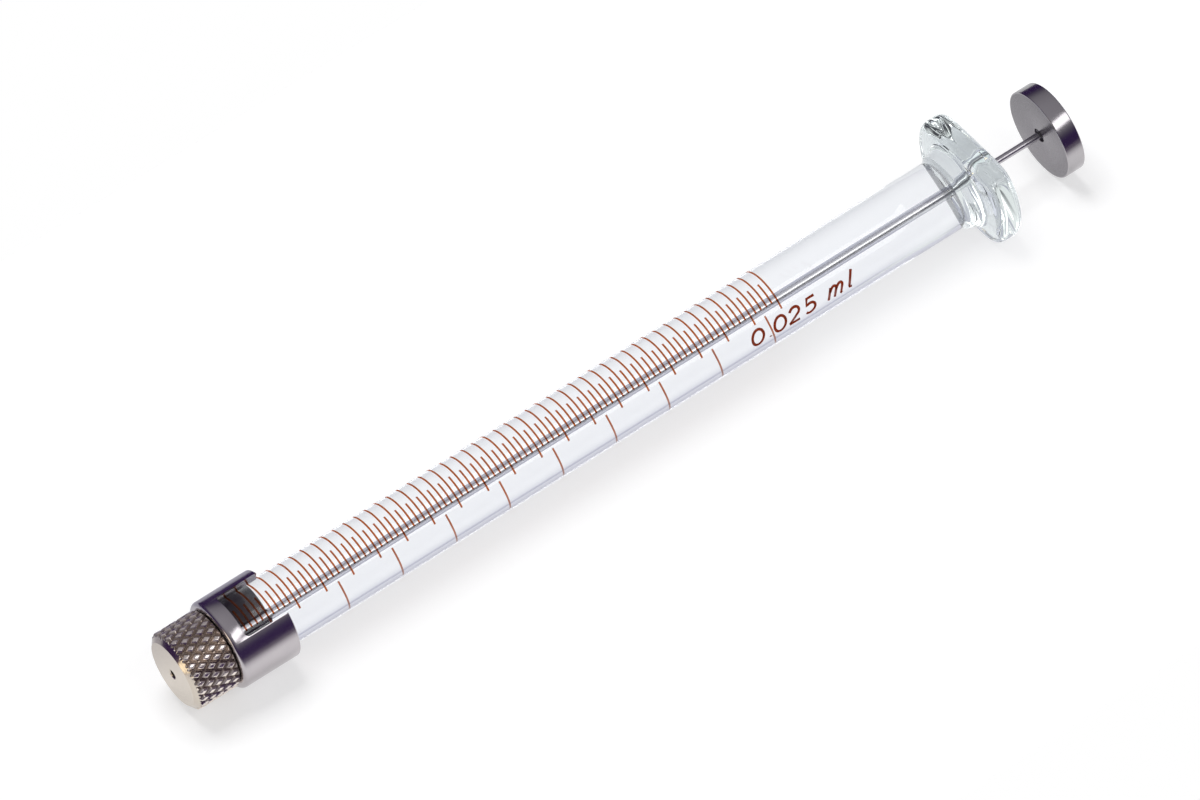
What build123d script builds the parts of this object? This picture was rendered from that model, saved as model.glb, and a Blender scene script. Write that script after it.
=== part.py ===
from build123d import *
import math
import os

# A glass microlitre syringe with a removable needle end, lying on its side as it comes to rest.
# Frame: +X runs along the bore from the needle end to the button, +Z is up, and the origin is
# the centre of the needle hole in the nut's front face. Lengths are millimetres, angles degrees.

# Driving dimensions: scale and bore
scale_volume = 25.0           # microlitres, which are cubic millimetres
scale_length = 60.0           # from the zero mark to the full mark
plunger_clearance = 0.014     # radial, between the wire and the bore

# Driving dimensions: glass barrel
glass_diameter = 7.06
glass_length = 84.85          # from the ground front face to the back of the flange
glass_edge_break = 0.15
zero_inset = 0.15             # from the glass's front face to the zero mark
mouth_diameter = 2.0          # the funnel that guides the wire into the bore
mouth_depth = 1.1

# Driving dimensions: pressed glass flange, from the barrel's ring groove to the back face
flare_length = 4.45
groove_depth = 0.13
groove_step = 0.06            # radial, from the groove's bottom up to the start of the flare
collar_diameter = 8.6         # where the neck meets the wings
flange_diameter = 13.3        # over the round ends of the wings
flange_flats = 9.1            # across the two flats, the lower of which lies level
flange_thickness = 2.8
flange_round = 0.9            # fire-polished edge radius
flange_blend = 0.45           # concave radius between the neck and the wings
flat_sharpness = 12           # how tightly a flat turns into a round end
section_step = 0.4            # along the flange's profile, between its lofted sections

# Driving dimensions: metal sleeve cemented over the needle end of the glass
sleeve_diameter = 9.0
sleeve_length = 6.15
sleeve_front_wall = 1.45      # from the sleeve's front face to the seat of the glass
sleeve_front_round = 0.45
sleeve_rear_break = 0.12
cement_gap = 0.02             # radial
window_width = 5.0            # milled through the wall, so its sides are parallel
window_corner = 0.35
window_turn = -13.0           # the middle of the window, from +Z toward +Y

# Driving dimensions: threaded nose in front of the sleeve
nose_diameter = 6.0
nose_bore = 3.2
nose_clearance = 0.25         # between the nose and the ferrule's head, left for tightening
nose_edge_break = 0.2

# Driving dimensions: seals
washer_thickness = 1.0
washer_hole = 0.9
seal_clearance = 0.05         # radial, of the seals in the nose's bore
ferrule_head_diameter = 5.0
ferrule_head_thickness = 0.45
ferrule_hole = 1.0
ferrule_lead_diameter = 2.2   # the cone in its head that guides the needle in
ferrule_lead_depth = 0.7
ferrule_tip_diameter = 1.9
ferrule_taper_length = 1.1

# Driving dimensions: knurled nut
nut_diameter = 8.0
nut_length = 4.8
nut_face_diameter = 6.6
nut_chamfer_length = 0.55
nut_rear_chamfer = 0.2
nut_front_wall = 0.9
nut_gap = 0.1                 # between the tightened nut and the sleeve
needle_hole = 0.9
thread_clearance = 0.05       # radial, between the nut and the nose
knurl_count = 26              # diamonds around
knurl_depth = 0.28
knurl_angle = 30.0            # of the grooves to the axis

# Driving dimensions: plunger
button_diameter = 9.1
button_thickness = 1.9
button_edge_break = 0.12
button_stand_off = 6.55       # from the flange to the button with the plunger home
button_socket_depth = 1.2
button_recess_diameter = 1.4
button_recess_depth = 0.25
wire_tip_break = 0.05
solder_gap = 0.01             # radial, around the wire in the button's socket

overrun = 1.0                 # how far a cutter runs on past what it cuts

# Sizes and stations that follow from them
bore_radius = math.sqrt(scale_volume / (math.pi * scale_length))
wire_radius = bore_radius - plunger_clearance
glass_radius = glass_diameter / 2
sleeve_front = nut_length + nut_gap
sleeve_rear = sleeve_front + sleeve_length
glass_front = sleeve_front + sleeve_front_wall
glass_back = glass_front + glass_length
flare_start = glass_back - flare_length
zero_mark = glass_front + zero_inset
ferrule_head_back = nut_front_wall + ferrule_head_thickness
nose_front = ferrule_head_back + nose_clearance
washer_front = glass_front - washer_thickness
button_front = glass_back + button_stand_off
overall_length = button_front + button_thickness


def turned(outline):
    """Revolve a closed outline of (station, radius) points about the bore's axis."""
    return revolve(make_face(Polyline(*outline, close=True)), Axis.X, 360)


def rod(start, end, radius):
    """A plain cylinder on the axis between two stations."""
    return turned([(start, 0), (end, 0), (end, radius), (start, radius)])


def round_ring(part, station, radius, size):
    """Fillet the circular edge that lies at a station with a radius."""
    rim = [
        edge
        for edge in part.edges().filter_by(GeomType.CIRCLE)
        if abs(edge.center().X - station) < 1e-3 and abs(edge.radius - radius) < 1e-3
    ]
    return fillet(rim, size)


def wing_outline(station, radius, half_flats, points=28):
    """A closed smooth outline across the axis: a circle whose top and bottom turn into flats."""
    corners = []
    for i in range(points):
        angle = 2 * math.pi * i / points
        cut = abs(radius * math.sin(angle) / half_flats) ** flat_sharpness
        reach = radius * (1 + cut) ** (-1 / flat_sharpness)
        corners.append(Vector(station, reach * math.cos(angle), reach * math.sin(angle)))
    return Wire([Edge.make_spline(corners, periodic=True)])


def flange_profile():
    """The section through the round ends: neck, concave blend, wing and fire-polished edges."""
    rim = flange_diameter / 2
    front = glass_back - flange_thickness
    lip = 2 * flange_round
    return FilletPolyline(
        (flare_start, glass_radius - groove_depth),
        (flare_start + 0.3 * (front - flare_start), glass_radius + groove_depth),
        (front, collar_diameter / 2),
        (front + 0.1, rim),
        (glass_back, rim),
        (glass_back, rim - lip),
        radius=[flange_blend, flange_blend, flange_round, flange_round],
    )


def flange():
    """The wings and their neck as one lofted form, with sections at even steps of the profile."""
    profile = flange_profile()
    sections = round(profile.length / section_step)
    outlines = []
    for i in range(sections + 1):
        spot = profile @ (i / sections)
        inset = min(flange_diameter / 2 - spot.Y, flange_round)
        outlines.append(wing_outline(spot.X, spot.Y, flange_flats / 2 - 0.75 * inset))
    return Solid.make_loft(outlines, ruled=True)


def glass_barrel():
    """Thick capillary tube with the flange, the ground front face and the rear funnel."""
    root = glass_radius - groove_depth - groove_step
    tube = turned([
        (glass_front, 0),
        (flare_start + flange_blend, 0),
        (flare_start + flange_blend, root),
        (flare_start, root),
        (flare_start - groove_depth, glass_radius),
        (glass_front + glass_edge_break, glass_radius),
        (glass_front, glass_radius - glass_edge_break),
    ])
    funnel = turned([
        (glass_back - mouth_depth, 0),
        (glass_back - mouth_depth, bore_radius),
        (glass_back, mouth_diameter / 2),
        (glass_back + overrun, mouth_diameter / 2),
        (glass_back + overrun, 0),
    ])
    bore = rod(glass_front - overrun, glass_back + overrun, bore_radius)
    return tube + flange() - bore - funnel


def window_cutter():
    """The milled slot, open at the sleeve's rear, that shows the zero mark."""
    length = sleeve_rear - zero_mark
    slot = Plane.XY * Pos(zero_mark + length, 0) * Rectangle(2 * length, window_width)
    slot = fillet(slot.vertices().group_by(Axis.X)[0], window_corner)
    return Rotation(-window_turn, 0, 0) * extrude(slot, sleeve_diameter)


def needle_end_sleeve():
    """Sleeve with its window, seat for the glass and the nose that carries the nut's thread."""
    radius = sleeve_diameter / 2
    body = turned([
        (sleeve_front, 0),
        (sleeve_rear, 0),
        (sleeve_rear, radius - sleeve_rear_break),
        (sleeve_rear - sleeve_rear_break, radius),
        (sleeve_front, radius),
    ])
    body = round_ring(body, sleeve_front, radius, sleeve_front_round)
    nose = turned([
        (nose_front, 0),
        (sleeve_front + sleeve_front_wall / 2, 0),
        (sleeve_front + sleeve_front_wall / 2, nose_diameter / 2),
        (nose_front + nose_edge_break, nose_diameter / 2),
        (nose_front, nose_diameter / 2 - nose_edge_break),
    ])
    seat = rod(glass_front, sleeve_rear + overrun, glass_radius + cement_gap)
    bore = rod(nose_front - overrun, glass_front + overrun, nose_bore / 2)
    return body + nose - seat - bore - window_cutter()


def seat_washer():
    """Flat seal against the ground end of the glass."""
    blank = rod(washer_front, glass_front, nose_bore / 2 - seal_clearance)
    return blank - rod(washer_front - overrun, glass_front + overrun, washer_hole / 2)


def compression_ferrule():
    """Seal that the nut squeezes onto the needle: a head with a lead-in cone, a shank and a tip."""
    shank = nose_bore / 2 - seal_clearance
    blank = turned([
        (nut_front_wall, 0),
        (washer_front, 0),
        (washer_front, ferrule_tip_diameter / 2),
        (washer_front - ferrule_taper_length, shank),
        (ferrule_head_back, shank),
        (ferrule_head_back, ferrule_head_diameter / 2),
        (nut_front_wall, ferrule_head_diameter / 2),
    ])
    lead = turned([
        (nut_front_wall, 0),
        (nut_front_wall + ferrule_lead_depth, 0),
        (nut_front_wall + ferrule_lead_depth, ferrule_hole / 2),
        (nut_front_wall, ferrule_lead_diameter / 2),
    ])
    return blank - lead - rod(nut_front_wall - overrun, washer_front + overrun, ferrule_hole / 2)


def knurled_blank():
    """A cylinder of pyramids where two sets of helical grooves cross, longer than the nut."""
    columns = 2 * knurl_count
    row_step = math.pi * nut_diameter / columns / math.tan(math.radians(knurl_angle))
    rows = math.ceil(nut_length / row_step) + 2
    tip = nut_diameter / 2
    root = tip - knurl_depth

    def corner(column, row):
        radius = tip if (column + row) % 2 else root
        angle = 2 * math.pi * column / columns
        return Vector((row - 1) * row_step, radius * math.cos(angle), radius * math.sin(angle))

    facets = []
    for row in range(rows):
        for column in range(columns):
            a, b = corner(column, row), corner(column + 1, row)
            c, d = corner(column + 1, row + 1), corner(column, row + 1)
            halves = ((a, b, c), (a, c, d)) if (column + row) % 2 == 0 else ((a, b, d), (b, c, d))
            facets += [Face(Wire.make_polygon(half, close=True)) for half in halves]
    for row in (0, rows):
        ring = [corner(column, row) for column in range(columns)]
        facets.append(Face(Wire.make_polygon(ring, close=True)))
    return Solid(Shell(facets))


def knurled_nut():
    """Cap nut with a flat face, a long front chamfer and a bore that runs on the nose."""
    clear = nut_diameter / 2 + 0.1
    slope = (nut_diameter - nut_face_diameter) / 2 / nut_chamfer_length
    envelope = turned([
        (0, 0),
        (0, nut_face_diameter / 2),
        ((clear - nut_face_diameter / 2) / slope, clear),
        (nut_length - nut_rear_chamfer - 0.1, clear),
        (nut_length, nut_diameter / 2 - nut_rear_chamfer),
        (nut_length, 0),
    ])
    bore = rod(nut_front_wall, nut_length + overrun, nose_diameter / 2 + thread_clearance)
    return knurled_blank() & envelope - bore - rod(-overrun, nut_length, needle_hole / 2)


def plunger_wire():
    """Ground steel wire from the zero mark into the button's socket."""
    end = button_front + button_socket_depth
    return turned([
        (zero_mark, 0),
        (end, 0),
        (end, wire_radius),
        (zero_mark + wire_tip_break, wire_radius),
        (zero_mark, wire_radius - wire_tip_break),
    ])


def plunger_button():
    """Thumb button with a blind socket for the wire and a small recess around it."""
    radius = button_diameter / 2
    inner = radius - button_edge_break
    blank = turned([
        (button_front, 0),
        (button_front, inner),
        (button_front + button_edge_break, radius),
        (overall_length - button_edge_break, radius),
        (overall_length, inner),
        (overall_length, 0),
    ])
    before = button_front - overrun
    recess = rod(before, button_front + button_recess_depth, button_recess_diameter / 2)
    socket = rod(before, button_front + button_socket_depth, wire_radius + solder_gap)
    return blank - recess - socket


pieces = {
    "glass_barrel": glass_barrel,
    "needle_end_sleeve": needle_end_sleeve,
    "seat_washer": seat_washer,
    "compression_ferrule": compression_ferrule,
    "knurled_nut": knurled_nut,
    "plunger_wire": plunger_wire,
    "plunger_button": plunger_button,
}

os.makedirs("parts", exist_ok=True)
for name, build in pieces.items():
    solid = build()
    print(name, round(solid.volume, 3), "mm3, valid:", solid.is_valid)
    export_step(solid, f"parts/{name}.step")
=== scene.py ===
import math

import bmesh
import bpy
from mathutils import Matrix, Vector


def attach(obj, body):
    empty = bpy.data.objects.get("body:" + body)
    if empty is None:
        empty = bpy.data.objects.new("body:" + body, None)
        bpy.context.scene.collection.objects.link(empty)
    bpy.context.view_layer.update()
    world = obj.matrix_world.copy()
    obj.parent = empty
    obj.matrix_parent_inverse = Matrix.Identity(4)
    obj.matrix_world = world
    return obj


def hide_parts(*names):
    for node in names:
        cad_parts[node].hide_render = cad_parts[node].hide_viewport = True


# A glass microlitre syringe that lies on a white table. +X runs along the bore from the needle
# end to the button and +Z is up. Angles around the barrel run from +Z toward +Y, in degrees.

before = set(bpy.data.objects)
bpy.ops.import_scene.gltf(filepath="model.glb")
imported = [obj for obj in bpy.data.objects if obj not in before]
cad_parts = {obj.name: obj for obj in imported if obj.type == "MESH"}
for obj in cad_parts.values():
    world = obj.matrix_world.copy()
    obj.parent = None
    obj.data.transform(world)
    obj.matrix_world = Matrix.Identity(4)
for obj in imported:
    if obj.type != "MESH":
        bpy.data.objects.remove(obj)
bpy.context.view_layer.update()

mm = 0.001

# Stations along the bore and radii that the solids have too
bore_radius = 0.3642 * mm
wire_radius = 0.3502 * mm
glass_radius = 3.53 * mm
glass_front = 6.35 * mm
zero_mark = 6.5 * mm
full_mark = 66.5 * mm
groove_station = 86.75 * mm
wing_front = 88.4 * mm
glass_back = 91.2 * mm
wing_radius = 6.65 * mm
half_flats = 4.545 * mm
wing_round = 0.9 * mm
sleeve_front = 4.9 * mm
sleeve_rear = 11.05 * mm
sleeve_radius = 4.5 * mm
seat_radius = 3.55 * mm
nose_front = 1.6 * mm
nose_radius = 3.0 * mm
nose_bore = 1.6 * mm
window_half_width = 2.5 * mm
window_corner = 0.35 * mm
window_turn = -13.0
nut_length = 4.8 * mm
nut_radius = 4.0 * mm
nut_face_radius = 3.3 * mm
nut_chamfer = 0.55 * mm
nut_wall = 0.9 * mm
nut_bore = 3.05 * mm
needle_hole = 0.45 * mm
hole_edge = 0.1 * mm
button_front = 97.75 * mm
button_back = 99.65 * mm
button_radius = 4.55 * mm
recess_radius = 0.7 * mm
recess_depth = 0.25 * mm
socket_depth = 1.2 * mm
wire_end = 98.95 * mm
table_level = -4.55 * mm

# What only the dressed pieces have
collar_radius = 4.3 * mm
groove_dip = 0.26 * mm
groove_half_width = 0.34 * mm
thread_pitch = 0.5 * mm
ring_step = 0.05 * mm
solder_gap = 0.01 * mm
mark_width = 0.18 * mm
mark_lift = 0.006 * mm
film_lift = 0.003 * mm
film_height = 0.012 * mm
figure_height = 1.5 * mm

# Light that has bounced more often than this gets its own shading from the table and the world
first_bounces = 3.5


# Expressions on sockets, for materials and for Geometry Nodes

class Signal:
    """A node's output. Arithmetic on it adds Math nodes, and node() adds any other node."""

    def __init__(self, tree, socket):
        self.tree = tree
        self.socket = socket

    def node(self, kind, settings, values, out=0):
        """Add a node: its settings first, then values or links for its inputs."""
        made = self.tree.nodes.new(kind)
        for name, setting in settings.items():
            if name == "stops":
                ramp = made.color_ramp
                while len(ramp.elements) < len(setting):
                    ramp.elements.new(0.5)
                for element, (place, colour) in zip(ramp.elements, setting):
                    element.position = place
                    element.color = colour
            else:
                setattr(made, name, setting)
        for name, value in values.items():
            if isinstance(value, Signal):
                self.tree.links.new(value.socket, made.inputs[name])
            else:
                made.inputs[name].default_value = value
        return Signal(self.tree, made.outputs[out])

    def maths(self, operation, *operands):
        """One Math node on the operands."""
        return self.node("ShaderNodeMath", {"operation": operation}, dict(enumerate(operands)))

    def __add__(self, other):
        return self.maths("ADD", self, other)

    def __radd__(self, other):
        return self.maths("ADD", other, self)

    def __sub__(self, other):
        return self.maths("SUBTRACT", self, other)

    def __rsub__(self, other):
        return self.maths("SUBTRACT", other, self)

    def __mul__(self, other):
        return self.maths("MULTIPLY", self, other)

    def __rmul__(self, other):
        return self.maths("MULTIPLY", other, self)

    def __truediv__(self, other):
        return self.maths("DIVIDE", self, other)

    def __mod__(self, other):
        return self.maths("FLOORED_MODULO", self, other)

    def __lt__(self, other):
        return self.maths("LESS_THAN", self, other)

    def __gt__(self, other):
        return self.maths("GREATER_THAN", self, other)

    def axes(self):
        """The three parts of a vector."""
        parts = self.node("ShaderNodeSeparateXYZ", {}, {"Vector": self})
        outputs = parts.socket.node.outputs
        return [Signal(self.tree, outputs[i]) for i in range(3)]

    def around(self):
        """Station, radius and angle in turns about the bore's axis of a point."""
        x, y, z = self.axes()
        radius = (y * y + z * z).maths("SQRT", y * y + z * z)
        return x, radius, y.maths("ARCTAN2", y, z) / (2 * math.pi)

    def vector(self, x, y, z):
        """A vector from three parts."""
        return self.node("ShaderNodeCombineXYZ", {}, {"X": x, "Y": y, "Z": z})

    def noise(self, scale, detail=2.0, roughness=0.5):
        """Noise over this vector."""
        return self.node("ShaderNodeTexNoise", {}, {
            "Vector": self, "Scale": scale, "Detail": detail, "Roughness": roughness})

    def between(self, low, high, start=0.0, end=1.0):
        """This value carried from the range low to high into start to end, and held there."""
        return self.node("ShaderNodeMapRange", {}, {
            0: self, "From Min": low, "From Max": high, "To Min": start, "To Max": end})

    def blend(self, first, second):
        """A colour between two colours, with this value as the share of the second."""
        made = self.tree.nodes.new("ShaderNodeMix")
        made.data_type = "RGBA"
        for index, value in ((0, self), (6, first), (7, second)):
            if isinstance(value, Signal):
                self.tree.links.new(value.socket, made.inputs[index])
            else:
                made.inputs[index].default_value = value
        return Signal(self.tree, made.outputs[2])


def colour(red, green, blue):
    return (red, green, blue, 1.0)


def new_object(name, data):
    """An object with this data, linked into the scene."""
    made = bpy.data.objects.new(name, data)
    bpy.context.scene.collection.objects.link(made)
    return made


def rays(tree):
    """A Light Path node's outputs by name: the kind of the ray that arrives, and its depths."""
    path = tree.nodes.new("ShaderNodeLightPath")
    return {output.name: Signal(tree, output) for output in path.outputs}


def new_finish(name, slot_colour):
    """A material with an empty Principled shader, and the piece's own coordinates to build on."""
    material = bpy.data.materials.new(name)
    material.use_nodes = True
    material.diffuse_color = slot_colour
    tree = material.node_tree
    shader = tree.nodes["Principled BSDF"]
    shader.inputs["Base Color"].default_value = slot_colour
    place = tree.nodes.new("ShaderNodeTexCoord")
    return material, shader, Signal(tree, place.outputs["Object"])


def feed(shader, name, signal):
    """Link a signal into an input of a shader."""
    signal.tree.links.new(signal.socket, shader.inputs[name])


def set_surface(material, mixed):
    """Show a mix of shaders in place of the Principled shader alone."""
    feed(material.node_tree.nodes["Material Output"], "Surface", mixed)


# Finishes

def glass_finish():
    """Clear borosilicate, greener where the wings are thick. Shadow rays pass it in part."""
    material, shader, point = new_finish("clear glass", colour(0.98, 0.985, 0.99))
    tree = material.node_tree
    station, radius, _ = point.around()
    thick = station.between(groove_station - 0.5 * mm, wing_front)
    feed(shader, "Base Color", thick.blend(colour(0.975, 0.985, 0.99), colour(0.89, 0.935, 0.93)))
    shader.inputs["Roughness"].default_value = 0.0
    shader.inputs["IOR"].default_value = 1.474
    shader.inputs["Transmission Weight"].default_value = 1.0

    # The groove's front wall is ground, and shows as a grey ring: its dark grey diffuse part is
    # painted shade
    wall_start, wall_end = groove_station - 0.38 * mm, groove_station - 0.02 * mm
    wall_foot = glass_radius - 0.40 * mm
    wall_cover = 0.6
    wall = (station.between(wall_start, wall_start + 0.08 * mm)
            * (1 - station.between(wall_end, wall_end + 0.05 * mm))
            * radius.between(wall_foot, wall_foot + 0.10 * mm))

    # Shadow and diffuse rays go straight through, and so does what has bounced too often
    ray = rays(tree)
    most_bounces = 4.5
    deep = ray["Ray Depth"] > most_bounces
    let_by = deep.maths("MAXIMUM", ray["Is Shadow Ray"], ray["Is Diffuse Ray"])
    let_by = let_by.maths("MAXIMUM", let_by, deep)
    clear = point.node("ShaderNodeBsdfTransparent", {}, {
        "Color": deep.blend(colour(0.76, 0.765, 0.78), colour(0.93, 0.95, 0.945))})
    # Painted shade: the dark grey diffuse part on the ground groove wall
    ground = point.node("ShaderNodeBsdfDiffuse", {}, {"Color": colour(0.20, 0.215, 0.235)})
    body = point.node("ShaderNodeMixShader", {}, {
        0: wall * wall_cover, 1: Signal(tree, shader.outputs[0]), 2: ground})
    set_surface(material, point.node("ShaderNodeMixShader", {}, {0: let_by, 1: body, 2: clear}))
    return material


def ink_finish(name, body, stain, cover):
    """Fired ink: a thin film that stains the light behind it, with the mottle of firing."""
    material, shader, point = new_finish(name, colour(*body))
    shader.inputs["Roughness"].default_value = 0.6
    shader.inputs["Specular IOR Level"].default_value = 0.15
    mottle = point.noise(1400.0, 3.0)
    darker = [share * 0.7 for share in body]
    feed(shader, "Base Color", mottle.blend(colour(*body), colour(*darker)))
    most_bounces, spread = 2.5, 0.06
    direct = rays(material.node_tree)["Ray Depth"] < most_bounces
    film = point.node("ShaderNodeBsdfTransparent", {}, {
        "Color": direct.blend(colour(0.97, 0.96, 0.95), colour(*stain))})
    mixed = point.node("ShaderNodeMixShader", {}, {
        0: mottle.between(0.3, 0.7, cover - spread, cover + spread) * direct, 1: film,
        2: Signal(material.node_tree, shader.outputs[0])})
    set_surface(material, mixed)
    return material


def turned_marks(point, along, across):
    """Fine tool marks that run round the axis: noise drawn out along the turning direction."""
    station, radius, turns = point.around()
    stretched = point.vector(station * along, radius * along, turns * across)
    return stretched.noise(1.0, 3.0, 0.6)


def metal_finish(name, base, along, bump=0.0):
    """Bare metal, and the fine marks that run round the axis, to build its roughness on."""
    material, shader, point = new_finish(name, base)
    shader.inputs["Metallic"].default_value = 1.0
    marks = turned_marks(point, along, 6.0)
    if bump:
        feed(shader, "Normal", point.node("ShaderNodeBump", {}, {
            "Strength": bump, "Distance": 0.01 * mm, "Height": marks}))
    return material, shader, point, marks


def sleeve_finish():
    """Polished nickel plate, a little cloudy."""
    material, shader, point, marks = metal_finish(
        "polished sleeve", colour(0.53, 0.50, 0.515), 14000.0, 0.15)
    feed(shader, "Roughness", marks.between(0.25, 0.75, 0.15, 0.25))
    cloud = point.noise(500.0, 2.0)
    feed(shader, "Base Color", cloud.blend(colour(0.555, 0.52, 0.535), colour(0.49, 0.46, 0.48)))
    return material


def cement_and_shade_finish():
    """The film of cement between the sleeve and the glass, painted near-black violet as the shade
    inside the sleeve.
    """
    material, shader, point = new_finish("cement film", colour(0.028, 0.016, 0.032))
    feed(shader, "Roughness", point.noise(900.0, 2.0).between(0.3, 0.7, 0.30, 0.45))
    return material


def nut_finish():
    """Warm nickel plate: bright lands, and grooves painted darker with their depth, as painted
    shade.
    """
    material, shader, point, marks = metal_finish(
        "knurled nickel", colour(0.68, 0.62, 0.55), 9000.0)
    station, radius, _ = point.around()
    depth = (nut_radius - radius).between(0.05 * mm, 0.24 * mm)
    outside = (radius > nut_face_radius + 0.05 * mm) * (station > nut_chamfer * 0.9)
    face = marks.blend(colour(0.65, 0.585, 0.51), colour(0.54, 0.48, 0.415))
    lands = marks.blend(colour(0.90, 0.82, 0.76), colour(0.80, 0.72, 0.66))
    # Painted shade: the knurl's colour darkens from the lands to the groove bottoms with depth
    knurled = depth.blend(lands, colour(0.36, 0.29, 0.24))
    feed(shader, "Base Color", outside.blend(face, knurled))
    feed(shader, "Roughness", marks.between(0.25, 0.75, 0.12, 0.24) + outside * 0.06)
    return material


def button_finish():
    """Turned stainless steel: a satin face, painted darker than the rim as shade, and a polished
    rim.
    """
    material, shader, point, marks = metal_finish(
        "turned button", colour(0.36, 0.345, 0.365), 16000.0, 0.12)
    _, radius, _ = point.around()
    rim = radius.between(button_radius - 0.16 * mm, button_radius - 0.06 * mm)
    satin = marks.between(0.25, 0.75, 0.20, 0.32)
    polish = marks.between(0.25, 0.75, 0.14, 0.21)
    feed(shader, "Roughness", satin * (1 - rim) + polish * rim)
    # Painted shade: the face's base colour is about half the rim's, on the same steel
    feed(shader, "Base Color", rim.blend(colour(0.22, 0.207, 0.226), colour(0.46, 0.44, 0.455)))
    return material


def wire_finish():
    """Steel ground along its length."""
    material, shader, point = new_finish("ground wire", colour(0.56, 0.545, 0.565))
    shader.inputs["Metallic"].default_value = 1.0
    station, radius, turns = point.around()
    drawn = point.vector(station * 300.0, turns * 40.0, radius * 1000.0).noise(1.0, 2.0)
    feed(shader, "Roughness", drawn.between(0.3, 0.7, 0.24, 0.34))
    return material


def seal_finish():
    """Matt white polymer."""
    material, shader, point = new_finish("white seal", colour(0.82, 0.82, 0.80))
    feed(shader, "Roughness", point.noise(700.0, 2.0).between(0.3, 0.7, 0.38, 0.52))
    return material


# Shells of revolution and of sections

def eased(outline, steps=5):
    """An outline of (station, radius, corner radius) points with its corners rounded."""
    points = []
    for i, (station, radius, corner) in enumerate(outline):
        here = Vector((station, radius))
        if not corner:
            points.append(here)
            continue
        before = Vector(outline[i - 1][:2]) - here
        after = Vector(outline[(i + 1) % len(outline)][:2]) - here
        half = before.angle(after) / 2
        cut = corner / math.tan(half)
        centre = here + (before.normalized() + after.normalized()).normalized() * (
            corner / math.sin(half))
        start = here + before.normalized() * cut - centre
        end = here + after.normalized() * cut - centre
        for step in range(steps + 1):
            share = step / steps
            spoke = start.lerp(end, share)
            points.append(centre + spoke.normalized() * corner)
    return points


def on_circle(station, radius, segments):
    """A ring of points round the axis."""
    return [
        (station, radius * math.sin(2 * math.pi * i / segments),
         radius * math.cos(2 * math.pi * i / segments))
        for i in range(segments)
    ]


def clean_up(mesh, crease):
    """Merge what lies together, turn the faces outward and shade smooth up to a crease angle."""
    form = bmesh.new()
    form.from_mesh(mesh)
    bmesh.ops.remove_doubles(form, verts=form.verts, dist=1e-7)
    bmesh.ops.delete(form, geom=[e for e in form.edges if not e.link_faces], context="EDGES")
    bmesh.ops.recalc_face_normals(form, faces=form.faces)
    form.to_mesh(mesh)
    form.free()
    mesh.shade_smooth()
    mesh.set_sharp_from_angle(angle=math.radians(crease))


def shell(name, rings, material, ring_closed=True, crease=30.0):
    """A closed mesh through rings of points; a ring of radius 0 becomes a pole."""
    count = len(rings[0])
    vertices = [point for ring in rings for point in ring]
    faces = []
    for row in range(len(rings) if ring_closed else len(rings) - 1):
        after = (row + 1) % len(rings)
        for i in range(count):
            j = (i + 1) % count
            faces.append((row * count + i, row * count + j, after * count + j, after * count + i))
    mesh = bpy.data.meshes.new(name)
    mesh.from_pydata(vertices, [], faces)
    mesh.materials.append(material)
    clean_up(mesh, crease)
    return new_object(name, mesh)


def turned(name, outline, material, segments=192, ring_closed=True, crease=30.0):
    """A piece turned about the bore's axis."""
    rings = [on_circle(station, radius, segments) for station, radius in outline]
    return shell(name, rings, material, ring_closed, crease)


def evenly(start, end, step):
    """Stations from start up to, but not including, end."""
    count = max(1, round(abs(end - start) / step))
    return [start + (end - start) * i / count for i in range(count)]


# Geometry Nodes

def new_tree(name, inputs):
    """A Geometry Nodes tree with named inputs; returns it and its inputs as Signals."""
    tree = bpy.data.node_groups.new(name, "GeometryNodeTree")
    tree.interface.new_socket("Geometry", in_out="INPUT", socket_type="NodeSocketGeometry")
    tree.interface.new_socket("Geometry", in_out="OUTPUT", socket_type="NodeSocketGeometry")
    for title, kind in inputs.items():
        tree.interface.new_socket(title, in_out="INPUT", socket_type="NodeSocket" + kind)
    entry = tree.nodes.new("NodeGroupInput")
    return tree, {s.name: Signal(tree, s) for s in entry.outputs if s.name}


def end_tree(tree, geometry, material):
    """Realize Instances and Set Material, then the group's output."""
    whole = geometry.node("GeometryNodeRealizeInstances", {}, {"Geometry": geometry})
    dressed = whole.node("GeometryNodeSetMaterial", {}, {"Geometry": whole, "Material": material})
    out = tree.nodes.new("NodeGroupOutput")
    tree.links.new(dressed.socket, out.inputs["Geometry"])


def evaluated_mesh(piece):
    """The mesh that an object's modifiers give."""
    graph = bpy.context.evaluated_depsgraph_get()
    return bpy.data.meshes.new_from_object(piece.evaluated_get(graph))


def grown(source, tree, values, name, crease=30.0):
    """Run a tree on an object and keep the result as a plain mesh in place of the object."""
    modifier = source.modifiers.new(name, "NODES")
    modifier.node_group = tree
    for item in tree.interface.items_tree:
        if item.in_out == "INPUT" and item.name in values:
            modifier[item.identifier] = values[item.name]
    mesh = evaluated_mesh(source)
    mesh.name = name
    piece = new_object(name, mesh)
    source.modifiers.remove(modifier)
    bpy.data.objects.remove(source)
    clean_up(mesh, crease)
    return piece


def placed(point, geometry, position):
    """The geometry with its points moved to a position."""
    return point.node("GeometryNodeSetPosition", {}, {"Geometry": geometry, "Position": position})


def radial(point, station, radius, turns):
    """The point at a station, radius and angle in turns."""
    angle = turns * (2 * math.pi)
    return point.vector(
        station, radius * angle.maths("SINE", angle), radius * angle.maths("COSINE", angle))


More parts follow.
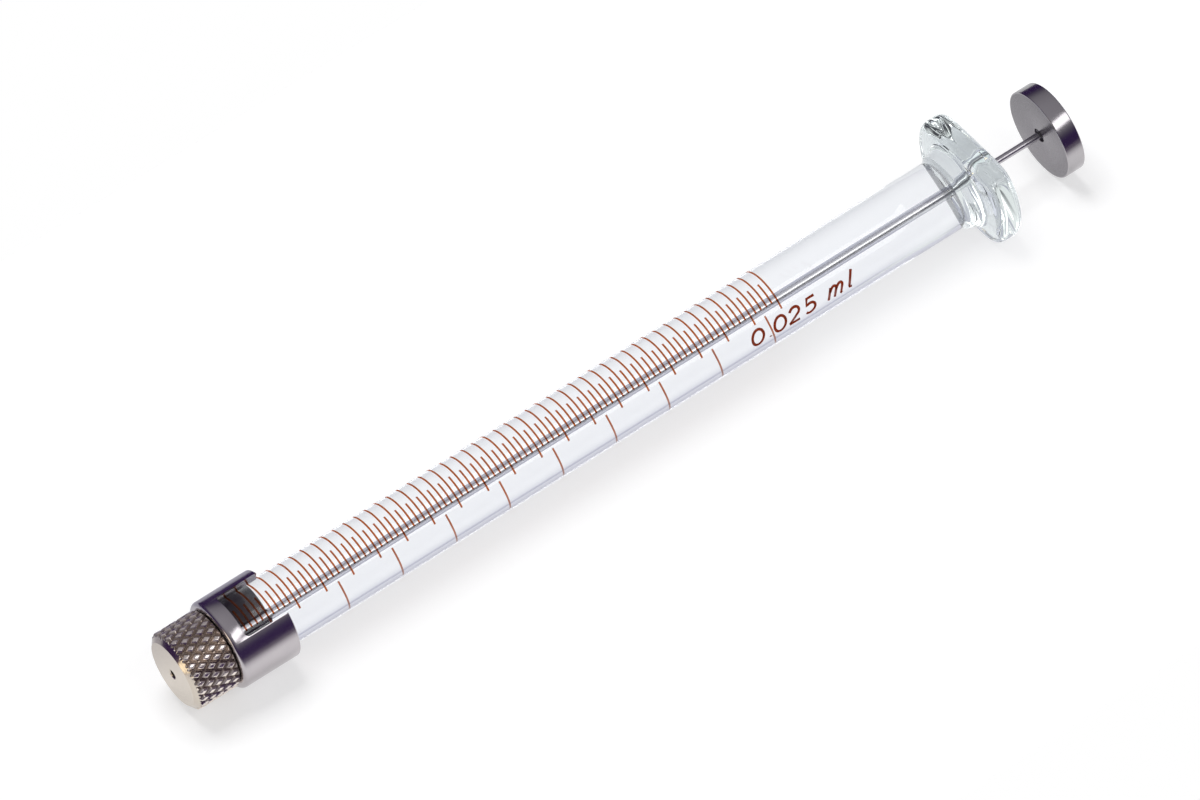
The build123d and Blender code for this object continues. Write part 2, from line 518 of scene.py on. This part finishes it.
def knurl_tree(material):
    """Two crossing sets of flat-bottomed helical grooves, cut into the blank's crest."""
    tree, given = new_tree("diamond knurl", {
        "Diamonds around": "Float", "Row height": "Float", "Crest radius": "Float",
        "Groove depth": "Float", "Groove share": "Float"})
    point = given["Geometry"].node("GeometryNodeInputPosition", {}, {})
    station, radius, turns = point.around()
    column = (0.25 - turns) * given["Diamonds around"]
    row = station / given["Row height"] * 0.5 + 0.5
    flat_bottom = 0.78
    cuts = []
    for phase in (column - row, column + row):
        from_groove = phase.maths("PINGPONG", phase, 0.5)
        cuts.append((1 - from_groove / given["Groove share"]).between(0.0, flat_bottom))
    deepest = cuts[0].maths("MAXIMUM", cuts[0], cuts[1])
    limit = given["Crest radius"] - deepest * given["Groove depth"]
    moved = placed(point, given["Geometry"], radial(
        point, station, radius.maths("MINIMUM", radius, limit), turns))
    end_tree(tree, moved, material)
    return tree


def thread_tree(material):
    """A fine right-hand thread, cut into the walls that lie between two radii."""
    tree, given = new_tree("fine thread", {
        "Pitch": "Float", "Depth": "Float", "Crest radius": "Float", "Outward": "Float",
        "Start": "Float", "End": "Float"})
    point = given["Geometry"].node("GeometryNodeInputPosition", {}, {})
    station, radius, turns = point.around()
    phase = station / given["Pitch"] + turns
    flank = phase.maths("PINGPONG", phase, 0.5) * 2
    away = radius - given["Crest radius"]
    on_wall = away.maths("ABSOLUTE", away) < 0.02 * mm
    inside = on_wall * (station > given["Start"]) * (station < given["End"])
    cut = flank * given["Depth"] * given["Outward"] * inside
    moved = placed(point, given["Geometry"], radial(point, station, radius + cut, turns))
    end_tree(tree, moved, material)
    return tree


def marks_tree(material):
    """Scale marks: flat strips at even steps, each bent round the glass as far as its rank asks."""
    tree, given = new_tree("scale marks", {
        "Count": "Int", "First station": "Float", "Step": "Float", "Line width": "Float",
        "Radius": "Float", "Foot": "Float", "Fifth foot": "Float", "Odd top": "Float",
        "Even top": "Float", "Tenth top": "Float"})
    start = given["Count"]
    line = start.node("GeometryNodeMeshLine", {"mode": "OFFSET"}, {
        "Count": given["Count"], "Start Location": start.vector(given["First station"], 0.0, 0.0),
        "Offset": start.vector(given["Step"], 0.0, 0.0)})
    index = start.node("GeometryNodeInputIndex", {}, {})
    ranked = line.node(
        "GeometryNodeStoreNamedAttribute", {"data_type": "FLOAT", "domain": "POINT"},
        {"Geometry": line, "Name": "rank", "Value": index})
    strip = start.node("GeometryNodeMeshGrid", {}, {
        "Size X": given["Line width"], "Size Y": 1.0, "Vertices X": 2, "Vertices Y": 30})
    strips = start.node("GeometryNodeInstanceOnPoints", {}, {"Points": ranked, "Instance": strip})
    whole = start.node("GeometryNodeRealizeInstances", {}, {"Geometry": strips})
    rank = start.node("GeometryNodeInputNamedAttribute", {"data_type": "FLOAT"}, {"Name": "rank"})
    odd = rank % 2.0
    fifth = (rank % 5.0) < 0.5
    tenth = (rank % 10.0) < 0.5
    foot = given["Foot"] + fifth * (given["Fifth foot"] - given["Foot"])
    even_top = given["Even top"] + tenth * (given["Tenth top"] - given["Even top"])
    top = even_top + odd * (given["Odd top"] - even_top)
    point = start.node("GeometryNodeInputPosition", {}, {})
    x, y, _ = point.axes()
    turns = (foot + (y + 0.5) * (top - foot)) / 360.0
    bent = placed(start, whole, radial(start, x, given["Radius"], turns))
    end_tree(tree, bent, material)
    return tree


def lettering_tree(material):
    """Thin pen strokes from flat curves, wrapped round the glass about a middle angle."""
    tree, given = new_tree("lettering", {
        "Pen width": "Float", "Film": "Float", "Radius": "Float", "Middle angle": "Float"})
    pen = given["Radius"].node("GeometryNodeCurvePrimitiveCircle", {}, {
        "Resolution": 8, "Radius": given["Pen width"] / 2})
    strokes = pen.node("GeometryNodeCurveToMesh", {}, {
        "Curve": given["Geometry"], "Profile Curve": pen, "Fill Caps": True})
    point = pen.node("GeometryNodeInputPosition", {}, {})
    x, y, z = point.axes()
    turns = given["Middle angle"] / 360.0 + y / given["Radius"] / (2 * math.pi)
    height = given["Radius"] + (z / given["Pen width"] + 0.5) * given["Film"]
    end_tree(tree, placed(point, strokes, radial(point, x, height, turns)), material)
    return tree


# The pieces

def wing_point(station, radius, flats, angle, sharpness=12):
    """A point on a round outline whose top and bottom turn into flats."""
    along, up = radius * math.sin(angle), radius * math.cos(angle)
    if flats:
        reach = (1 + abs(up / flats) ** sharpness) ** (-1 / sharpness)
        along, up = along * reach, up * reach
    return (station, along, up)


def glass_barrel(material):
    """Thick capillary tube, ring groove, neck, pressed wings, funnel and bore in one shell."""
    segments = 288
    groove_steps = 8
    first_ring, last_ring = 12 * mm, 86 * mm
    funnel_edge, funnel_mouth, funnel_depth = 1.3 * mm, 1.0 * mm, 1.1 * mm
    neck = eased([
        (glass_back - 4.43 * mm, glass_radius - 0.2 * mm, 0),
        (glass_back - 4.1 * mm, glass_radius + 0.28 * mm, 0.25 * mm),
        (wing_front, collar_radius, 0.45 * mm),
        (wing_front + 0.1 * mm, wing_radius, wing_round),
        (glass_back, wing_radius, wing_round),
        (glass_back, 1.6 * mm, 0),
    ], 14)[:-1]
    outline = [(glass_front, bore_radius), (glass_front, 3.38 * mm), (zero_mark, glass_radius)]
    outline += [(x, glass_radius) for x in evenly(first_ring, last_ring, 4 * mm)]
    for step in range(groove_steps + 1):
        rise = math.cos(math.pi * step / (2 * groove_steps)) ** 2
        outline.append((groove_station - groove_half_width * rise,
                        glass_radius - groove_dip * (1 - rise)))
    outline += [tuple(p) for p in neck]
    outline += [(glass_back, r * mm) for r in (5.2, 4.6, 4.0, 3.2, 2.4, 1.8, 1.3)]
    outline += [tuple(p) for p in eased([
        (glass_back, funnel_edge, 0), (glass_back, funnel_mouth, 0.15 * mm),
        (glass_back - funnel_depth, bore_radius, 0)])[1:]]
    outline += [(x, bore_radius) for x in evenly(last_ring, first_ring, 6 * mm)]
    rings = []
    for station, radius in outline:
        on_wing = station > groove_station - 0.01 * mm and radius > 1.2 * mm
        inset = min(wing_radius - radius, wing_round)
        flats = half_flats - 0.75 * inset if on_wing else 0
        rings.append([
            wing_point(station, radius, flats, 2 * math.pi * i / segments)
            for i in range(segments)
        ])
    return shell("barrel_glass", rings, material, crease=40.0)


def sleeve(metal, cement_and_shade):
    """Sleeve, seat and threaded nose, with the window milled out of the wall."""
    outline = eased([
        (sleeve_front, nose_radius, 0),
        (sleeve_front, sleeve_radius, 0.45 * mm),
        (sleeve_rear, sleeve_radius, 0.12 * mm),
        (sleeve_rear, seat_radius, 0.05 * mm),
        (glass_front, seat_radius, 0),
        (glass_front, nose_bore, 0.05 * mm),
        (nose_front, nose_bore, 0.08 * mm),
        (nose_front, nose_radius, 0.18 * mm),
    ], 8)
    outline += [Vector((x, nose_radius)) for x in
                evenly(nose_front + 0.2 * mm, sleeve_front - 0.02 * mm, ring_step)]
    blank = turned("sleeve blank", outline, metal, segments=240)
    piece = grown(blank, thread_tree(metal), {
        "Pitch": thread_pitch, "Depth": 0.24 * mm, "Crest radius": nose_radius, "Outward": -1.0,
        "Start": nose_front + 0.1 * mm, "End": sleeve_front - 0.35 * mm}, "end_sleeve", 34.0)
    cutter = window_cutter(metal)
    cut = piece.modifiers.new("window", "BOOLEAN")
    cut.operation = "DIFFERENCE"
    cut.solver = "EXACT"
    cut.object = cutter
    mesh = evaluated_mesh(piece)
    piece.modifiers.remove(cut)
    piece.data = mesh
    bpy.data.objects.remove(cutter)
    mesh.materials.clear()
    mesh.materials.append(metal)
    mesh.materials.append(cement_and_shade)
    break_window_edges(mesh)
    # The seat wall behind the glass and the glass's seating step take the cement film with its
    # painted shade
    for face in mesh.polygons:
        out = math.hypot(face.center.y, face.center.z)
        inner = abs(out - seat_radius) < 0.02 * mm and face.center.x > glass_front
        face.material_index = 1 if inner or abs(face.center.x - glass_front) < 1e-6 else 0
    return piece


def window_cutter(material):
    """The slot as a solid, open past the sleeve's rear, its middle turned round the axis."""
    near = zero_mark + window_corner
    side = window_half_width - window_corner
    past_rear = sleeve_rear + 2 * mm
    low, high = 1 * mm, 6 * mm
    corner_steps = 8
    outline = [(past_rear, -window_half_width)]
    for sign in (-1, 1):
        for step in range(corner_steps + 1):
            turn = math.pi / 2 * step / corner_steps
            swing = turn if sign < 0 else math.pi / 2 - turn
            outline.append((near - window_corner * math.sin(swing),
                            sign * (side + window_corner * math.cos(swing))))
    outline.append((past_rear, window_half_width))
    form = bmesh.new()
    base = [form.verts.new((x, y, low)) for x, y in outline]
    face = form.faces.new(base)
    raised = bmesh.ops.extrude_face_region(form, geom=[face])
    for vertex in raised["geom"]:
        if isinstance(vertex, bmesh.types.BMVert):
            vertex.co.z = high
    bmesh.ops.recalc_face_normals(form, faces=form.faces)
    bmesh.ops.rotate(form, verts=form.verts, cent=(0, 0, 0),
                     matrix=Matrix.Rotation(math.radians(-window_turn), 3, "X"))
    mesh = bpy.data.meshes.new("window cutter")
    form.to_mesh(mesh)
    form.free()
    mesh.materials.append(material)
    return new_object("window cutter", mesh)


def break_window_edges(mesh, width=0.045 * mm):
    """Bevel the milled edges by a hair, so that they catch the light."""
    sharp = math.radians(35)
    slack = 0.01 * mm
    lowest, innermost = 2 * mm, seat_radius + 0.3 * mm
    form = bmesh.new()
    form.from_mesh(mesh)
    bmesh.ops.remove_doubles(form, verts=form.verts, dist=2e-7)
    middle = Vector((0, math.sin(math.radians(window_turn)), math.cos(math.radians(window_turn))))
    across = Vector((0, middle.z, -middle.y))
    milled = []
    for edge in form.edges:
        if len(edge.link_faces) != 2 or edge.calc_face_angle() < sharp:
            continue
        spots = [vertex.co for vertex in edge.verts]
        if all(spot.dot(middle) > lowest and spot.x > zero_mark - slack
               and abs(spot.dot(across)) < window_half_width + slack
               and math.hypot(spot.y, spot.z) > innermost for spot in spots):
            milled.append(edge)
    bmesh.ops.bevel(form, geom=milled, offset=width, segments=2, profile=0.5, affect="EDGES",
                    clamp_overlap=True)
    bmesh.ops.recalc_face_normals(form, faces=form.faces)
    form.to_mesh(mesh)
    form.free()
    mesh.shade_smooth()
    mesh.set_sharp_from_angle(angle=math.radians(34))


def knurled_nut(material):
    """Cap nut: flat face, broken needle hole, front chamfer, knurl and threaded bore."""
    knurl_step = 0.0598 * mm
    rear_break = 0.2 * mm
    outline = [Vector((nut_wall, needle_hole)), Vector((hole_edge, needle_hole))]
    outline += eased([
        (0.0, needle_hole + hole_edge, 0.0),
        (0.0, nut_face_radius, 0.06 * mm),
        (nut_chamfer + 0.06 * mm, nut_radius + 0.07 * mm, 0.0),
    ])[:-1]
    outline += [Vector((x, nut_face_radius + (x / nut_chamfer) * (nut_radius - nut_face_radius)))
                for x in evenly(0.1 * mm, nut_chamfer, ring_step)]
    outline += [Vector((x, nut_radius)) for x in
                evenly(nut_chamfer, nut_length - rear_break, knurl_step)]
    outline += [Vector((nut_length - rear_break + ring_step * i, nut_radius - ring_step * i))
                for i in range(5)]
    outline += [Vector((nut_length, r * mm)) for r in (3.7, 3.55, 3.4)]
    outline += [Vector((nut_length, nut_bore + rear_break)),
                Vector((nut_length - rear_break, nut_bore))]
    outline += [Vector((x, nut_bore)) for x in
                evenly(nut_length - 0.25 * mm, nut_wall + 0.1 * mm, ring_step)]
    outline.append(Vector((nut_wall, nut_bore)))
    blank = turned("nut blank", outline, material, segments=364)
    threaded = grown(blank, thread_tree(material), {
        "Pitch": thread_pitch, "Depth": 0.2 * mm, "Crest radius": nut_bore, "Outward": 1.0,
        "Start": nut_wall + 0.6 * mm, "End": nut_length - 0.22 * mm}, "nut with thread")
    return grown(threaded, knurl_tree(material), {
        "Diamonds around": 26.0, "Row height": 0.8371 * mm, "Crest radius": nut_radius,
        "Groove depth": 0.28 * mm, "Groove share": 0.27}, "nut_with_knurl", 40.0)


def plunger_button(material):
    """Thumb button: turned disc with a recess and the wire's blind socket."""
    outline = eased([
        (button_front + recess_depth, wire_radius + solder_gap, 0.02 * mm),
        (button_front + recess_depth, recess_radius, 0.03 * mm),
        (button_front, recess_radius, 0.05 * mm),
        (button_front, button_radius, 0.1 * mm),
        (button_back, button_radius, 0.12 * mm),
        (button_back, 0.0, 0.0),
    ])
    start = [Vector((button_front + socket_depth, 0.0)),
             Vector((button_front + socket_depth, wire_radius + solder_gap))]
    return turned("thumb_button", start + outline, material, segments=256, ring_closed=False)


def plunger_wire(material):
    """Ground wire from the zero mark into the button's socket."""
    outline = eased([
        (zero_mark, 0.0, 0.0),
        (zero_mark, wire_radius, 0.05 * mm),
        (wire_end, wire_radius, 0.0),
        (wire_end, 0.0, 0.0),
    ])
    return turned("wire", outline, material, segments=64, ring_closed=False)


def arc(centre_x, centre_y, width, height, start, end, steps=14):
    """Points of part of an ellipse, angles in degrees counted from +X."""
    return [
        (centre_x + width * math.cos(math.radians(start + (end - start) * i / steps)),
         centre_y + height * math.sin(math.radians(start + (end - start) * i / steps)))
        for i in range(steps + 1)
    ]


# Pen strokes in a box one unit high. Each figure is a list of strokes and its own width.
strokes = {
    "0": ([arc(0.42, 0.5, 0.42, 0.5, 90, 450, 28)], 0.84),
    "1": ([[(0.0, 0.8), (0.2, 1.0), (0.2, 0.0)]], 0.24),
    "2": ([arc(0.37, 0.7, 0.35, 0.3, 165, -35, 16) + [(0.0, 0.0)], [(0.0, 0.0), (0.76, 0.0)]],
          0.78),
    "5": ([[(0.7, 1.0), (0.16, 1.0), (0.08, 0.56)] + arc(0.36, 0.32, 0.38, 0.32, 115, -140, 18)],
          0.74),
    ".": ([[(0.06, 0.0), (0.06, 0.07)]], 0.14),
    "m": ([[(0.0, 0.78), (0.0, 0.0)],
           [(0.0, 0.5)] + arc(0.25, 0.53, 0.21, 0.25, 150, 0, 9) + [(0.46, 0.0)],
           [(0.46, 0.5)] + arc(0.71, 0.53, 0.21, 0.25, 150, 0, 9) + [(0.92, 0.08), (1.02, 0.0)]],
          1.0),
    "l": ([[(0.0, 1.15), (0.0, 0.2), (0.05, 0.07), (0.22, 0.05)]], 0.22),
}


def drawing(name, words, along_axis=True):
    """Flat pen strokes for (figure, place x, place y, height, slant) entries, as one curve."""
    curve = bpy.data.curves.new(name, "CURVE")
    curve.dimensions = "3D"
    for figure, place_x, place_y, height, slant in words:
        lines, width = strokes[figure]
        for line in lines:
            spline = curve.splines.new("POLY")
            spline.points.add(len(line) - 1)
            for spot, (u, v) in zip(spline.points, line):
                u, v = (u - width / 2 + slant * (v - 0.5)) * height, (v - 0.5) * height
                if along_axis:
                    spot.co = (place_x + u, place_y + v, 0.0, 1.0)
                else:
                    spot.co = (place_x + v, place_y - u, 0.0, 1.0)
    return new_object(name, curve)


def scale_marks(ink):
    """One hundred spaces from zero to full, and the tenth marks' ends behind the glass."""
    step = (full_mark - zero_mark) / 100
    tree = marks_tree(ink)
    foot, top = -213.4, -167.4
    sets = {
        "scale_marks": {
            "Count": 101, "First station": full_mark, "Step": -step, "Foot": -40.4,
            "Fifth foot": -54.0, "Odd top": -2.9, "Even top": 42.6, "Tenth top": 67.6},
        "scale_mark_ends": {
            "Count": 10, "First station": full_mark - 0.27 * mm, "Step": -10 * step,
            "Foot": foot, "Fifth foot": foot, "Odd top": top, "Even top": top,
            "Tenth top": top},
    }
    pieces = []
    for name, values in sets.items():
        seed = new_object("marks seed", bpy.data.meshes.new("marks seed"))
        values.update({"Line width": mark_width, "Radius": glass_radius + mark_lift})
        pieces.append(grown(seed, tree, values, name))
    return pieces


def lettering(ink):
    """The capacity in front, and the scale's figures behind, beside every twentieth mark."""
    tree = lettering_tree(ink)
    shared = {"Film": film_height, "Radius": glass_radius + film_lift}
    size = figure_height
    words = [(figure, zero_mark + along * mm, 0.0, size, lean) for figure, along, lean in (
        ("0", 56.8, 0.18), (".", 58.2, 0.18), ("0", 59.3, 0.18), ("2", 60.95, 0.22),
        ("5", 62.7, 0.22), ("m", 65.7, 0.45), ("l", 67.4, 0.45))]
    capacity = grown(drawing("capacity drawing", words), tree, {
        "Pen width": 0.28 * mm, "Middle angle": -74.0, **shared}, "capacity_lettering")
    words = []
    step = (full_mark - zero_mark) / 5
    space = 0.2 * size
    for place in range(1, 6):
        number = str(place * 5)
        widths = [strokes[figure][1] * size for figure in number]
        left = -(sum(widths) + space * (len(number) - 1)) / 2
        for figure, width in zip(number, widths):
            words.append((figure, zero_mark + step * place, -(left + width / 2), size, 0.0))
            left += width + space
    numbers = grown(drawing("numbers drawing", words, along_axis=False), tree, {
        "Pen width": 0.15 * mm, "Middle angle": 98.0, **shared}, "scale_numbers")
    return [capacity, numbers]


# The table, the light and the camera

def white_table():
    """A white card that keeps the syringe's soft shadow. Reflections see it shaded like a room."""
    material = bpy.data.materials.new("white card")
    material.use_nodes = True
    tree = material.node_tree
    shader = tree.nodes["Principled BSDF"]
    shader.inputs["Roughness"].default_value = 1.0
    shader.inputs["Specular IOR Level"].default_value = 0.0
    shader.inputs["Emission Color"].default_value = colour(1.0, 1.0, 1.0)
    ray = rays(tree)
    glossy, through = ray["Is Glossy Ray"], ray["Is Transmission Ray"]
    mirrored = glossy.maths("MAXIMUM", glossy, through)
    seen = mirrored.maths("MAXIMUM", mirrored, ray["Is Camera Ray"])
    first = ray["Ray Depth"] < first_bounces
    place = Signal(tree, tree.nodes.new("ShaderNodeTexCoord").outputs["Object"])
    x, y, _ = place.axes()
    flange_end = x.between(82 * mm, 87 * mm)

    # Grey behind the syringe and for light that the wire throws back, dark far in front of it
    behind = y.between(3 * mm, 17 * mm) * mirrored * first
    bounced = (ray["Glossy Depth"] > 0.5) * (ray["Transmission Depth"] > 0.5)
    grey = behind.maths("MAXIMUM", behind, bounced * 0.8) * (1 - 0.45 * flange_end)
    gloom = (1 - y.between(-26 * mm, -12 * mm)) * glossy * first
    rising = y.between(3 * mm, 7.5 * mm) * mirrored * first
    shade = flange_end.blend(colour(0.34, 0.34, 0.42), colour(0.36, 0.39, 0.39))
    card = grey.blend(colour(0.60, 0.60, 0.605), shade)
    feed(shader, "Base Color", gloom.blend(card, colour(0.10, 0.07, 0.13)))
    glow = 0.505 - grey * 0.24 - through * 0.13 - rising * 0.10
    feed(shader, "Emission Strength", seen * glow * (1 - gloom * 0.85))

    left, right, side = -60 * mm, 160 * mm, 55 * mm
    mesh = bpy.data.meshes.new("white card")
    mesh.from_pydata([(left, -side, table_level), (right, -side, table_level),
                      (right, side, table_level), (left, side, table_level)], [], [(0, 1, 2, 3)])
    mesh.materials.append(material)
    table = new_object("white card", mesh)


def studio_world():
    """White for the camera, plain light for matt colours, and a studio for gloss to reflect."""
    world = bpy.data.worlds.new("studio")
    world.use_nodes = True
    bpy.context.scene.world = world
    tree = world.node_tree
    backdrop = tree.nodes["Background"]
    place = Signal(tree, tree.nodes.new("ShaderNodeTexCoord").outputs["Generated"])
    _, y, z = place.axes()
    height = z * 0.5 + 0.5

    def ramp(*stops):
        """Colours from straight down, at 0, to straight up, at 1."""
        return height.node("ShaderNodeValToRGB", {"stops": stops}, {0: height})

    room = ramp(
        (0.0, colour(0.3, 0.3, 0.3)), (0.45, colour(0.045, 0.02, 0.09)),
        (0.62, colour(0.045, 0.022, 0.095)), (0.70, colour(0.10, 0.085, 0.13)),
        (0.82, colour(0.28, 0.27, 0.30)), (1.0, colour(0.40, 0.39, 0.42)))
    through = ramp(
        (0.0, colour(0.95, 0.95, 0.95)), (0.47, colour(0.68, 0.68, 0.75)),
        (0.57, colour(0.51, 0.51, 0.61)), (0.68, colour(0.26, 0.26, 0.37)),
        (0.85, colour(0.6, 0.6, 0.63)), (1.0, colour(0.9, 0.9, 0.9)))
    back = ramp(
        (0.0, colour(0.85, 0.88, 0.88)), (0.44, colour(0.62, 0.64, 0.67)),
        (0.50, colour(0.44, 0.45, 0.52)), (1.0, colour(0.50, 0.51, 0.58)))
    front = ramp(
        (0.0, colour(0.85, 0.88, 0.88)), (0.44, colour(0.55, 0.58, 0.60)),
        (0.48, colour(0.10, 0.11, 0.12)), (0.68, colour(0.06, 0.06, 0.07)),
        (0.78, colour(0.85, 0.88, 0.88)), (1.0, colour(0.90, 0.92, 0.92)))
    trapped = y.between(-0.1, 0.1).blend(front, back)
    ray = rays(tree)
    shown = ray["Is Glossy Ray"].blend(colour(0.32, 0.32, 0.325), room)
    shown = ray["Is Transmission Ray"].blend(shown, through)
    shown = (ray["Ray Depth"] > first_bounces).blend(shown, trapped)
    shown = ray["Is Camera Ray"].blend(shown, colour(1.0, 1.0, 1.0))
    feed(backdrop, "Color", shown)
    backdrop.inputs["Strength"].default_value = 1.0


def softbox(name, direction, distance, width, height, radiance, tint=(1, 1, 1), reflected=True):
    """A rectangular lamp that faces the middle of the syringe, with an even face."""
    lamp = bpy.data.lights.new(name, "AREA")
    lamp.shape = "RECTANGLE"
    lamp.size = width
    lamp.size_y = height
    lamp.energy = radiance * math.pi * width * height
    lamp.color = tint
    holder = new_object(name, lamp)
    middle = Vector((48 * mm, 0, 0))
    toward = Vector(direction).normalized()
    holder.location = middle + toward * distance
    holder.rotation_euler = toward.to_track_quat("Z", "Y").to_euler()
    holder.visible_camera = False
    holder.visible_glossy = reflected
    holder.visible_transmission = reflected


def row_direction(angle, along):
    """A direction at an angle round the bore's axis, with a share along +X."""
    level = math.sqrt(1 - along * along)
    return (along, level * math.sin(math.radians(angle)), level * math.cos(math.radians(angle)))


def lights():
    """An unseen softbox above, a broad one in front, and a warm lamp at the needle end."""
    softbox("overhead softbox", row_direction(22, 0.0), distance=0.6, width=0.38, height=0.34,
            radiance=5.3, reflected=False)
    softbox("front softbox", row_direction(-38, 0.31), distance=0.8, width=0.5, height=0.24,
            radiance=2.4)
    softbox("needle end lamp", (-0.99, -0.06, 0.10), distance=0.7, width=0.24, height=0.24,
            radiance=1.8, tint=(1.0, 0.88, 0.62))


def camera():
    """A long lens far off, turned so that the barrel runs up to the right as photographed."""
    distance = 1402.3237 * mm
    tilt, turn, roll = math.radians(17.7478), math.radians(31.8772), math.radians(37.4)
    aim = Vector((38.48 * mm, 0, 0))
    picture_width, picture_height = 1200, 800
    aim_across, aim_down = 517.9814, 459.584
    focal = 15407.8696
    offset = Vector((picture_width / 2 - aim_across, aim_down - picture_height / 2, 0))
    offset *= distance / focal
    along = Vector((math.cos(tilt) * math.cos(turn), math.cos(tilt) * math.sin(turn),
                    -math.sin(tilt)))
    across = Vector((-math.sin(turn), math.cos(turn), 0))
    facing = (Vector((0, 0, 1)) - along * along.z).normalized()
    up = facing * math.cos(roll) + across * math.sin(roll)
    side = across * math.cos(roll) - facing * math.sin(roll)
    axes = Matrix((along, side, up))
    eye = axes @ (offset + Vector((0, 0, distance)))
    lens = bpy.data.cameras.new("camera")
    lens.sensor_fit = "HORIZONTAL"
    lens.sensor_width = 36.0
    lens.lens = focal * lens.sensor_width / picture_width
    lens.clip_start = 0.1
    lens.clip_end = 20.0
    holder = new_object("camera", lens)
    holder.matrix_world = Matrix.Translation(aim + eye) @ axes.to_4x4()
    bpy.context.scene.camera = holder


def dress():
    """Make every piece, give it its finish and hang it on its body."""
    glass = glass_finish()
    ink = ink_finish("fired ink", (0.13, 0.028, 0.008), (0.77, 0.17, 0.02), 0.5)
    heavy_ink = ink_finish("heavy fired ink", (0.32, 0.045, 0.012), (0.74, 0.27, 0.15), 0.5)
    steel = sleeve_finish()
    cement_and_shade = cement_and_shade_finish()
    nickel = nut_finish()
    button_steel = button_finish()
    wire_steel = wire_finish()
    seal = seal_finish()

    pieces = [
        (glass_barrel(glass), "glass_barrel", "barrel", "clear_glass"),
        (sleeve(steel, cement_and_shade), "needle_end_sleeve", "barrel", "sleeve_metal"),
        (knurled_nut(nickel), "knurled_nut", "nut", "nut_metal"),
        (plunger_button(button_steel), "plunger_button", "plunger", "button_metal"),
        (plunger_wire(wire_steel), "plunger_wire", "plunger", "wire_steel"),
    ]
    for piece, node, body, slot in pieces:
        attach(piece, body)
        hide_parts(node)
    for piece in scale_marks(ink) + lettering(heavy_ink):
        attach(piece, "barrel")
    for node in ("seat_washer", "compression_ferrule"):
        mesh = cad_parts[node].data
        mesh.materials.clear()
        mesh.materials.append(seal)


dress()
white_table()
studio_world()
lights()
camera()
bpy.context.scene.view_settings.view_transform = "Standard"
